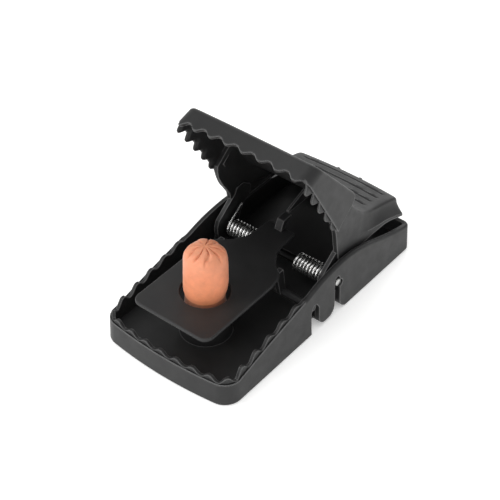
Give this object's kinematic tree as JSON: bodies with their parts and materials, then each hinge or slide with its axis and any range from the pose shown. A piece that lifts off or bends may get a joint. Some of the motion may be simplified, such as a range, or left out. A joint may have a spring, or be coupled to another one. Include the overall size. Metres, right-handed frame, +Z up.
{
  "type": "snap mouse trap",
  "caption": "Black plastic snap mouse trap, set open: toothed tray and jaw with press pad, steel axle and torsion springs, trigger plate and a sausage bait.",
  "frame": {"origin": "bottom centre of the base tray, under the middle of its length and width, on the table", "axes": "+Z up, +Y towards the press pad, -Y towards the mouth, +X to the right seen from the press pad side looking at the mouth"},
  "size_m": [0.047, 0.0906, 0.0628],
  "materials": {
    "tray_plastic": "satin moulded black polystyrene",
    "jaw_plastic": "satin moulded black polystyrene",
    "trigger_plastic": "finely textured moulded black plastic",
    "cup_plastic": "moulded black plastic",
    "spring_steel": "bright drawn spring wire",
    "axle_steel": "plain steel rod",
    "bait_flesh": "soft moist sausage skin"
  },
  "bodies": {
    "base": {"base_tray": "tray_plastic", "bait_cup": "cup_plastic", "axle_pin": "axle_steel", "spring_left": "spring_steel", "spring_right": "spring_steel", "bait_sausage": "bait_flesh"},
    "jaw": {"upper_jaw": "jaw_plastic"},
    "trigger": {"trigger_plate": "trigger_plastic"}
  },
  "joints": [
    {"name": "jaw_snap", "type": "hinge", "parent": "base", "child": "jaw", "pos_m": [0, 0.0088, 0.0106], "axis": [1, 0, 0], "range_deg": [0, 71], "deforming": ["spring_left", "spring_right", "bait_sausage"]},
    {"name": "trigger_tilt", "type": "hinge", "parent": "base", "child": "trigger", "pos_m": [0, -0.0034, 0.0092], "axis": [1, 0, 0], "range_deg": [0, 8]}
  ],
  "couplings": [
    {"joint": "trigger_tilt", "follows": "jaw_snap", "ratio": 0.1111}
  ]
}
